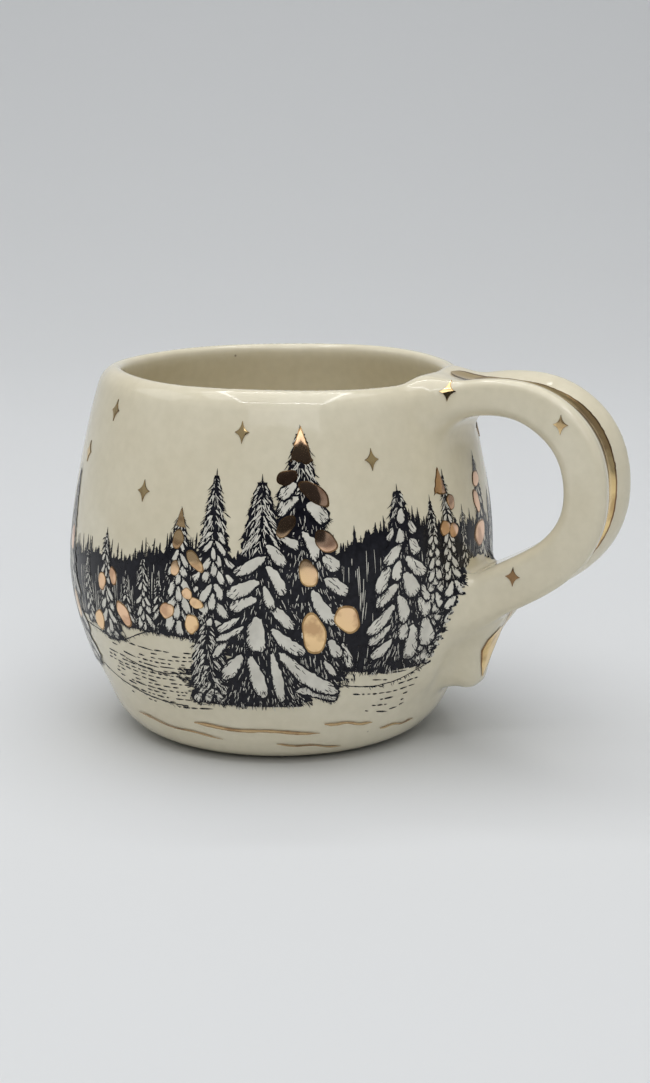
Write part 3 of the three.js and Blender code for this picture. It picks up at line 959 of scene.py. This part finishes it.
def draw_far_forest(ink, snow, rng):
    """A dark belt of distant firs with light streaks in it, and thin spires along the top."""
    degrees = np.arange(-180, 180.01, 0.5)
    top, foot = FOREST_TOP(degrees), FOREST_FOOT(degrees)
    shares = np.linspace(0, 1, 18)
    edge = draws(rng, -0.6, 0.6, degrees)
    belt = [
        [(a * ARC, low + (high + rough - low) * share) for share in shares]
        for a, low, high, rough in zip(degrees, foot, top, edge)
    ]
    ink.add_grid(belt, 0)
    s = -180 * ARC
    while s < 180 * ARC:
        high = float(FOREST_TOP(s / ARC))
        low = float(FOREST_FOOT(s / ARC))
        for _ in range(rng.choice((1, 1, 2, 2))):
            z = rng.uniform(low + 2, high - 2.5)
            reach = min(rng.uniform(1.5, 7), z - low)
            heading = -90 + rng.uniform(-4, 4)
            snow.quill(rng, (s, z), heading, reach, rng.uniform(0.10, 0.24), 1)
        if rng.random() < 0.62:
            tall = rng.uniform(0.8, 2.4) if rng.random() < 0.8 else rng.uniform(2.4, 4.6)
            heading = 90 + rng.uniform(-4, 4)
            ink.quill(rng, (s, high - 1), heading, tall + 1, rng.uniform(0.4, 0.9), 2)
            for _ in range(int(tall * 2.5)):
                side = rng.choice((-1, 1))
                at = (s, high + rng.uniform(-0.3, tall * 0.75))
                ink.quill(rng, at, -38 if side > 0 else 218, rng.uniform(0.3, 0.8), 0.16, 2)
        heading = -90 + rng.uniform(-25, 25)
        reach = rng.uniform(0.9, 2.2)
        ink.quill(rng, (s, low + 0.8), heading, reach, rng.uniform(0.16, 0.34), 2)
        s += rng.uniform(0.30, 0.46)


def draw_dashes(ink, rng, start, stop, height, fill):
    """A row of short dashes across the snow, sagging in its middle; fill is how many show."""
    degrees = start
    while degrees < stop:
        share = (degrees - start) / (stop - start)
        z = height - DASH_SAG * math.sin(math.pi * share)
        reach = rng.uniform(0.8, 2.4) if rng.random() < 0.8 else rng.uniform(2.4, 5)
        if rng.random() < fill:
            slope = -DASH_SAG * math.pi * math.cos(math.pi * share) / ((stop - start) * ARC)
            heading = math.degrees(math.atan(slope)) + rng.uniform(-3, 3)
            width = DASH_WIDTH * rng.uniform(0.7, 1.2)
            ink.quill(rng, (degrees * ARC, z), heading, reach, width, 3)
        degrees += (reach + rng.uniform(0.35, 0.8)) / ARC


def draw_snow_field(ink, rng, start, stop, high, low, rows):
    """Rows of dashes that fill a stretch of open snow, longest about its middle."""
    for row in range(rows):
        share = row / (rows - 1)
        inset = (stop - start) * (0.22 * abs(share - 0.45) + rng.uniform(0, 0.12))
        last = stop - inset * rng.uniform(0.2, 1)
        height = high + (low - high) * share
        draw_dashes(ink, rng, start + inset, last, height, rng.uniform(0.55, 0.95))


def draw_bank(ink, rng, points, fringe):
    """A long wavering line along the crest of a snow bank, with short strokes under it."""
    points = np.array([(degrees * ARC, z) for degrees, z in points])
    at = np.arange(len(points))
    fine = np.linspace(0, at[-1], 14 * at[-1])
    line = np.stack([Spline(at, points[:, 0])(fine), Spline(at, points[:, 1])(fine)], 1)
    line[:, 1] += draws(rng, -0.06, 0.06, fine)
    ink.ribbon(line, draws(rng, 0.08, 0.16, line), 3)
    for _ in range(fringe):
        s, z = line[rng.randrange(len(line))]
        reach = rng.uniform(0.6, 1.6)
        heading = -40 + rng.uniform(-25, 25)
        ink.quill(rng, (s, z), heading, reach, rng.uniform(0.12, 0.22), 3)


def draw_scrub(ink, rng, start, stop, high, low, count, heading=-25):
    """A dark tangle of pen strokes where the snow meets a fir."""
    for _ in range(count):
        s = rng.uniform(start, stop) * ARC
        z = rng.uniform(low, high)
        turn = heading + rng.uniform(-28, 28)
        reach = rng.uniform(0.8, 2.8)
        width = rng.uniform(0.22, 0.42)
        ink.quill(rng, (s, z), turn, reach, width, SCRUB_LAYER, rng.uniform(-30, 30))


# Open snow round the back: start and stop degrees, top and bottom heights.
REAR_SNOW_FIELDS = [
    (22, 60, 27, 15), (58, 100, 26, 13.5), (100, 140, 27, 15), (138, 178, 26, 14),
    (178, 216, 28, 15),
]


def draw_ground(ink, rng):
    draw_snow_field(ink, rng, -122, -82, 29.5, 15, 15)
    draw_snow_field(ink, rng, -43, -17, 24, 13.5, 7)
    draw_bank(ink, rng, [(-131, 30), (-122, 29.5), (-112, 29), (-102, 32.5), (-94, 33)], 30)
    draw_bank(ink, rng, [(-128, 20), (-118, 17.2), (-104, 15), (-92.5, 14.8)], 12)
    draw_bank(ink, rng, [(-112, 24.5), (-102, 23), (-92, 23.5), (-84, 26)], 26)
    draw_bank(ink, rng, [(-46, 21.5), (-38, 20.3), (-28, 20.8), (-19, 23.5)], 26)
    draw_scrub(ink, rng, -93, -79, 26, 18, 120, -15)
    draw_scrub(ink, rng, -48, -42, 30, 23, 40, -60)
    for start, stop, high, low in REAR_SNOW_FIELDS:
        draw_snow_field(ink, rng, start, stop, high, low, 8)
    draw_bank(ink, rng, [(20, 24), (40, 20), (58, 17.5), (64, 17)], 40)
    draw_bank(ink, rng, [(78, 17), (95, 19), (112, 18), (130, 20), (150, 22)], 50)
    draw_bank(ink, rng, [(146, 21), (164, 18), (178, 16.5)], 30)
    draw_bank(ink, rng, [(192, 17), (206, 18), (222, 20)], 30)
    draw_scrub(ink, rng, 58, 64, 30, 18.5, 100)
    draw_scrub(ink, rng, 78, 86, 28, 18.5, 100, -60)
    draw_scrub(ink, rng, 172, 179, 30, 18, 100)


def draw_torn_edge(ink, rng):
    """Crumbs of the print along the bare clay of the handle's lower root."""
    for side in (-1, 1):
        z = 45
        while z > 19:
            degrees = float(torn_half_angle(z)) - rng.uniform(0.0, 1.8)
            start = (side * degrees * ARC, z)
            heading = 90 - side * 25 + rng.uniform(-25, 25)
            reach = rng.uniform(0.3, 0.9)
            ink.quill(rng, start, heading, reach, rng.uniform(0.2, 0.42), TOP_LAYER - 1)
            z -= rng.uniform(0.7, 1.7)


def wall_places(flat):
    """Where flat points stand on the turned wall, and which way is straight out of it."""
    angle = flat[:, 0] / BELLY_RADIUS
    outward = np.stack([np.cos(angle), np.sin(angle), np.zeros(len(angle))], 1)
    start = outward * outside_radius(flat[:, 1])[:, None]
    start[:, 2] = flat[:, 1]
    return start, outward


def lay_drawing(name, drawing, material, slot_name, *replaced):
    """Lays a flat drawing on the wall, as one thin skin that faces outwards."""
    points, lifts, faces = [], [], []
    count = 0
    for grid, lift in drawing.patches:
        rows, columns = grid.shape[:2]
        index = count + np.arange(rows * columns).reshape(rows, columns)
        corners = (index[:-1, :-1], index[:-1, 1:], index[1:, 1:], index[1:, :-1])
        faces.append(np.stack(corners, -1).reshape(-1, 4))
        points.append(grid.reshape(-1, 2))
        lifts.append(np.full(rows * columns, lift))
        count += rows * columns
    flat, lifts, faces = (np.concatenate(part) for part in (points, lifts, faces))
    middle = flat[faces].mean(1)
    faces = faces[~blank_root(middle[:, 0], middle[:, 1])]
    used, faces = np.unique(faces, return_inverse=True)
    flat, lifts, faces = flat[used], lifts[used], faces.reshape(-1, 4)
    start, outward = wall_places(flat)
    points = lay_on_clay(start, outward, lifts)
    normals = clay_normals(points)
    a, b, c, d = (points[faces[:, k]] for k in range(4))
    inwards = np.einsum("ij,ij->i", np.cross(c - a, d - b), normals[faces[:, 0]]) < 0
    faces[inwards] = faces[inwards][:, ::-1]
    skin = new_mesh_object(name, points, faces, material)
    finish_piece(skin, normals, slot_name, *replaced)


def make_forest():
    rng = random.Random(41)
    far_ink, fir_ink, snow = Drawing(), Drawing(), Drawing()
    draw_far_forest(far_ink, snow, rng)
    for fir in FIRS:
        fir.draw(fir_ink, snow, rng)
    draw_ground(far_ink, rng)
    draw_torn_edge(far_ink, rng)
    black, blue_black = (0.35, (0.005, 0.005, 0.008)), (0.75, (0.016, 0.016, 0.022))
    ink, _ = mottled(
        "blue_black_ink_under_glaze", 700, 3, black, blue_black, Roughness=0.18, IOR=1.3)
    cream, white = (0.3, (0.63, 0.605, 0.53)), (0.7, (0.78, 0.755, 0.665))
    pale, _ = mottled("pale_snow_under_glaze", 300, 3, cream, white, Roughness=0.18)
    lay_drawing("far_forest_ink", far_ink, ink.material, "print_ink", "forest_print")
    lay_drawing("fir_ink", fir_ink, ink.material, "print_ink")
    lay_drawing("forest_snow", snow, pale.material, "glazed_stoneware")


# ------------------------------------------------------------------ gold lustre
DAB_SWELL = 0.07


class Leaf:
    """Gold patches: fans of rings, or strips, placed on the clay along given directions."""

    def __init__(self):
        self.points, self.directions, self.lifts, self.tilts = [], [], [], []
        self.faces, self.rims = [], []

    def add_points(self, points, directions, lifts, tilts):
        first = len(self.points)
        self.points.extend(points)
        self.directions.extend(directions)
        self.lifts.extend(lifts)
        self.tilts.extend(tilts)
        return first

    def add_fan(self, outline, places, rim=0.85):
        """A patch round its outline's middle; the last ring rolls down on to the clay."""
        outline = np.asarray(outline, float)
        middle = outline.mean(0)
        count = len(outline)
        rings = [0.3, 0.6, rim, (1 + rim) / 2, 1.0]
        lifts = [GOLD_LIFT] * 4 + [PRINT_LIFT]
        flat = [middle]
        heights = [GOLD_LIFT]
        for share, lift in zip(rings, lifts):
            flat.extend(middle + (outline - middle) * share)
            heights.extend([lift] * count)
        start, direction = places(np.array(flat))
        outwards = start - start[0]
        outwards /= np.maximum(np.linalg.norm(outwards, axis=1, keepdims=True), 0.01)
        swell = np.repeat([0.0] + rings, [1] + [count] * len(rings))[:, None]
        first = self.add_points(start, direction, heights, DAB_SWELL * swell ** 2 * outwards)
        for k in range(count):
            self.faces.append((first, first + 1 + k, first + 1 + (k + 1) % count))
            self.rims.append(0)
        for ring in range(len(rings) - 1):
            here = first + 1 + ring * count
            for k in range(count):
                after = (k + 1) % count
                self.faces.append((here + k, here + after, here + count + after, here + count + k))
                self.rims.append(1 if ring >= 2 else 0)

    def add_strip(self, grid, places):
        """A strip from a (rows, columns) grid of flat places."""
        grid = np.asarray(grid, float)
        rows, columns = grid.shape[:2]
        start, direction = places(grid.reshape(-1, 2))
        heights = [GOLD_LIFT] * len(start)
        first = self.add_points(start, direction, heights, np.zeros_like(start))
        for i in range(rows - 1):
            for j in range(columns - 1):
                a = first + i * columns + j
                self.faces.append((a, a + 1, a + columns + 1, a + columns))
                self.rims.append(1 if j in (0, columns - 2) else 0)

    def build(self, name, *replaced, gold=None):
        start, directions = np.array(self.points), np.array(self.directions)
        points = lay_on_clay(start, directions, np.array(self.lifts), 7)
        normals = clay_normals(points) + np.array(self.tilts)
        normals /= np.linalg.norm(normals, axis=1, keepdims=True)
        faces = []
        for face in self.faces:
            a, b, c = (points[i] for i in face[:3])
            inwards = np.dot(np.cross(b - a, c - a), normals[face[1]]) < 0
            faces.append(face[::-1] if inwards else face)
        leaf = new_mesh_object(name, points, faces, gold or YELLOW_GOLD)
        leaf.data.materials.append(BURNT_GOLD_AND_PAINTED_DARK_REFLECTION)
        leaf.data.polygons.foreach_set("material_index", np.array(self.rims, np.int32))
        finish_piece(leaf, normals, "gold_lustre", *replaced)
        return leaf


def gold_material(name, hues, roughness):
    """Lustre whose hue wanders between two golds, with thin cloudy smudges."""
    lustre = Surface(name)
    wandering = lustre.ramp(lustre.noise(25, 1), (0.40, hues[0]), (0.60, hues[1]))
    smudges = lustre.ramp(lustre.noise(230, 4), (0.36, (0.66, 0.60, 0.58)), (0.50, (1, 1, 1)))
    base = lustre.mix(1.0, wandering, smudges, "MULTIPLY")
    lustre.shade(Base_Color=base, Metallic=1.0, Roughness=roughness)
    lustre.bump(lustre.noise(130, 2), 0.00010)
    return lustre.material


PEACH_GOLD = gold_material("peach_gold_lustre", ((0.94, 0.62, 0.42), (0.94, 0.66, 0.36)), 0.09)
YELLOW_GOLD = gold_material("yellow_gold_lustre", ((0.90, 0.67, 0.32), (0.93, 0.70, 0.37)), 0.10)
BROWN_GOLD = gold_material("brown_gold_lustre", ((0.62, 0.43, 0.24), (0.74, 0.54, 0.31)), 0.16)
# Brown gold for the lustre's burnt edges; on one handle star it is also a painted dark reflection.
BURNT_GOLD_AND_PAINTED_DARK_REFLECTION = gold_material("burnt_gold_edge_and_painted_dark_reflection", ((0.30, 0.18, 0.09), (0.45, 0.29, 0.13)), 0.2)


def blob(rng, length, width, tilt, count=28):
    """The uneven rounded outline of a brushed dab."""
    turn = math.radians(tilt)
    c, s = math.cos(turn), math.sin(turn)
    shifts = [rng.uniform(0, 2 * math.pi) for _ in range(3)]
    outline = []
    for k in range(count):
        a = 2 * math.pi * k / count
        uneven = 1 + 0.07 * math.sin(2 * a + shifts[0]) + 0.05 * math.sin(3 * a + shifts[1])
        uneven += 0.03 * math.sin(5 * a + shifts[2])
        x, y = length / 2 * math.cos(a) * uneven, width / 2 * math.sin(a) * uneven
        outline.append((x * c - y * s, x * s + y * c))
    return np.array(outline)


def star_outline(half_wide, half_tall, count=40):
    """A four-pointed star with hollow sides and slightly blunt points."""
    outline = []
    for k in range(count):
        a = 2 * math.pi * k / count
        c, s = math.cos(a), math.sin(a)
        x = half_wide * math.copysign(0.85 * abs(c) ** 3.6 + 0.15 * abs(c), c)
        y = half_tall * math.copysign(0.85 * abs(s) ** 3.6 + 0.15 * abs(s), s)
        outline.append((x, y))
    return np.array(outline)


# Gold dabs on the firs' boughs: degrees, height, length, width, tilt.
DABS = [
    (-61.5, 70, 5, 3.5, 20), (-54.5, 66.5, 8.5, 4, -40), (-62, 59.5, 6, 3.5, 45),
    (-52, 56, 6, 4.5, -35), (-56.5, 49, 6.5, 4.5, -65), (-55, 35, 10, 6, -80),
    (-46.5, 38, 7.5, 5.5, -40),
    (-90.5, 55.5, 4.5, 3, 70), (-91, 49, 3.5, 2.5, 80), (-85.5, 51, 6.5, 2.5, -50),
    (-87.5, 43.5, 3, 2.5, -30), (-85, 41.5, 3.5, 2.5, -30), (-93.5, 39, 4.5, 3.5, 45),
    (-86.5, 36.5, 5, 3.5, -90),
    (-117, 42.5, 5, 3, 75), (-112, 44.5, 4.5, 2.5, -70), (-120.5, 32.5, 6, 4, 60),
    (-108.5, 36, 6.5, 4, -60), (-139, 49, 6.5, 4, 80), (-137, 33, 8, 4, -75),
    (-12, 61, 4, 3, -80), (-15.5, 55.5, 4, 3.5, 40), (-12, 54.5, 4, 3.5, -40),
    (4, 64, 4, 4.5, 90), (2.5, 59, 3.5, 6, 20), (3, 51.5, 5.5, 8, -70),
    (67, 60, 5.5, 3.5, 35), (73, 55, 6.5, 4, -45), (66, 48, 6, 4, 50), (74.5, 41, 7.5, 5, -60),
    (68, 34, 8.5, 5.5, -85), (109, 60, 4.5, 3, 40), (114.5, 54, 6, 3.5, -50),
    (110, 45, 5, 3.5, 60), (117, 37, 6.5, 4.5, -50), (145.5, 55, 4.5, 3, 45),
    (151, 47, 5.5, 3.5, -50), (146, 38, 5, 3.5, 60), (183, 63, 5, 3.5, 40),
    (189.5, 58, 7, 4, -45), (183, 49, 6, 4, 55), (191, 42, 7, 5, -55), (185, 34, 8.5, 5.5, -80),
]
# Gold caps on firs' tips: degrees, tip height, width and height of the cap.
CAPS = [
    (-57.7, 81, 6, 8), (-90, 62.5, 2.6, 4.2), (-16, 69.4, 4.4, 6.2), (70, 78.8, 5.4, 7),
    (186, 77.8, 5.4, 7),
]


def cap_outline(rng, wide, tall, count=30):
    """A tip dipped in gold: narrow at the top, ragged along the bottom."""
    outline = []
    for k in range(count):
        share = k / count
        if share < 0.4:
            down = share / 0.4
            outline.append((wide / 2 * down ** 0.8 * rng.uniform(0.9, 1.12), -tall * down))
        elif share < 0.6:
            over = (share - 0.4) / 0.2
            outline.append((wide * (0.5 - over), -tall * rng.uniform(0.9, 1.06)))
        else:
            up = (share - 0.6) / 0.4
            outline.append((-wide / 2 * (1 - up) ** 0.8 * rng.uniform(0.9, 1.12), -tall * (1 - up)))
    outline = np.array(outline)
    outline[0] = (0.15, 0)
    return outline


def make_dabs():
    rng = random.Random(7)
    leaf = Leaf()
    for degrees, z, length, width, tilt in DABS:
        leaf.add_fan(blob(rng, length, width, tilt) + (degrees * ARC, z), wall_places)
    for degrees, tip, wide, tall in CAPS:
        leaf.add_fan(cap_outline(rng, wide, tall) + (degrees * ARC, tip), wall_places)
    leaf.build("gold_dabs_on_firs", gold=PEACH_GOLD)


def box_middle(node):
    low, high = (np.array(corner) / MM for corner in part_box(node))
    return (low + high) / 2


RIM_OF_STAR = 0.94


def make_stars():
    """Gold stars, one on each star of the CAD."""
    for k in range(1, 13):
        node = "wall_star_%02d" % k
        x, y, z = box_middle(node)
        leaf = Leaf()
        at = (math.atan2(y, x) * BELLY_RADIUS, z)
        leaf.add_fan(star_outline(1.9, 2.5) + at, wall_places, RIM_OF_STAR)
        leaf.build("gold_" + node, node)
    for side, word in ((-1, "near"), (1, "far")):
        for k in range(1, 4):
            node = "handle_star_%s_%02d" % (word, k)
            x, _, z = box_middle(node)
            # The first star on the near side sits a millimetre higher than the plain one.
            raised = 1 if node == "handle_star_near_01" else 0
            at = (x, z + raised)

            def places(flat, side=side):
                start = np.stack([flat[:, 0], np.full(len(flat), side * 14.0), flat[:, 1]], 1)
                return start, np.tile([0.0, side, 0.0], (len(flat), 1))

            leaf = Leaf()
            leaf.add_fan(star_outline(1.8, 2.3) + at, places, RIM_OF_STAR)
            # The third star on the near side is coloured all in dark brown gold. This is a painted dark
            # reflection of the dim room, not the lustre's own colour.
            gold = BURNT_GOLD_AND_PAINTED_DARK_REFLECTION if node == "handle_star_near_03" else YELLOW_GOLD
            leaf.build("gold_" + node, node, gold=gold)


# Brush strokes low on the wall: degrees and height where each starts and stops, and its width.
STROKES = [
    (-117, 9.3, -83, 6.6, 0.55), (-92, 10.4, -51, 8.8, 1.0), (-65, 6, -42, 4, 0.6),
    (-50, 11.2, -33, 9.9, 0.8), (-29, 7.6, -13, 7.6, 0.6), (40, 9, 70, 7, 0.8),
    (78, 10.5, 118, 8, 0.9), (130, 6.5, 160, 8.5, 0.7), (172, 10, 205, 7.5, 0.8),
]


def make_strokes():
    """The brush strokes of gold across the snow, thinning at both ends."""
    rng = random.Random(19)
    for k, (start, z_start, stop, z_stop, width) in enumerate(STROKES, 1):
        count = int((stop - start) * ARC / 0.9)
        share = np.linspace(0, 1, count)
        press = np.interp(share, [0, 0.12, 0.5, 0.85, 1], [0.25, 1, 0.75, 0.9, 0.12])
        half = width / 2 * press * draws(rng, 0.8, 1.15, share)
        s = (start + (stop - start) * share) * ARC
        wander = 0.35 * np.sin(share * 9 + k) * np.sin(np.pi * share)
        z = z_start + (z_stop - z_start) * share + wander
        across = [-1, -0.6, 0, 0.6, 1]
        grid = np.stack([np.stack([s, z + half * place], 1) for place in across], 1)
        leaf = Leaf()
        leaf.add_strip(grid, wall_places)
        leaf.build("gold_stroke_%02d" % k, "snow_stroke_%02d" % k, gold=BROWN_GOLD)


def strap_places(bar):
    """Places on the outer face of a swept bar, from (knots along it, mm across it)."""

    def places(flat):
        tx, tz = bar.frame_at(flat[:, 0])
        out = np.stack([-tz, np.zeros(len(flat)), tx], 1)
        start = np.stack([bar.x(flat[:, 0]), flat[:, 1], bar.z(flat[:, 0])], 1)
        return start + out * (bar.thick(flat[:, 0]) / 2)[:, None], out

    return places


def make_groove_gold():
    """The gilded line along the strap's valley, widest just past the lip."""
    rng = random.Random(3)
    t = np.linspace(0.65, 13, 170)
    knots = [0.65, 0.75, 0.95, 1.3, 1.7, 2.1, 2.7, 4.6, 9, 11.5, 13]
    low = np.interp(t, knots, [0.6, -1.2, -2.0, -1.9, -1.1, -0.5, -0.4, -1.0, -1.1, -0.9, -0.2])
    high = np.interp(t, knots, [1.0, 3.4, 4.4, 4.2, 2.8, 1.7, 1.3, 2.8, 2.8, 1.7, 0.3])
    low = low + draws(rng, -0.08, 0.08, t)
    high = high + draws(rng, -0.08, 0.08, t)
    shares = (0, 0.12, 0.35, 0.65, 0.88, 1)
    grid = np.stack([np.stack([t, low + (high - low) * share], 1) for share in shares], 1)
    leaf = Leaf()
    leaf.add_strip(grid, strap_places(strap))
    leaf.build("gold_in_groove", "groove_gilding")


def make_tail_gold():
    """The gilded patch on the tail's outer face, pointed at both ends."""
    t = np.linspace(0.75, 3.2, 40)
    half = np.interp(t, [0.75, 0.95, 1.3, 1.9, 2.6, 3.2], [0.6, 2.1, 3.1, 3.3, 1.9, 0.2])
    shares = (-1, -0.86, -0.4, 0, 0.4, 0.86, 1)
    grid = np.stack([np.stack([t, half * share - 1.2], 1) for share in shares], 1)
    leaf = Leaf()
    leaf.add_strip(grid, strap_places(tail))
    leaf.build("gold_on_tail", "tail_gilding")


make_camera()
make_world()
make_lights()
make_sweep()
make_dark_card()
make_clay()
make_forest()
make_dabs()
make_stars()
make_strokes()
make_groove_gold()
make_tail_gold()

bpy.context.scene.view_settings.view_transform = "Standard"
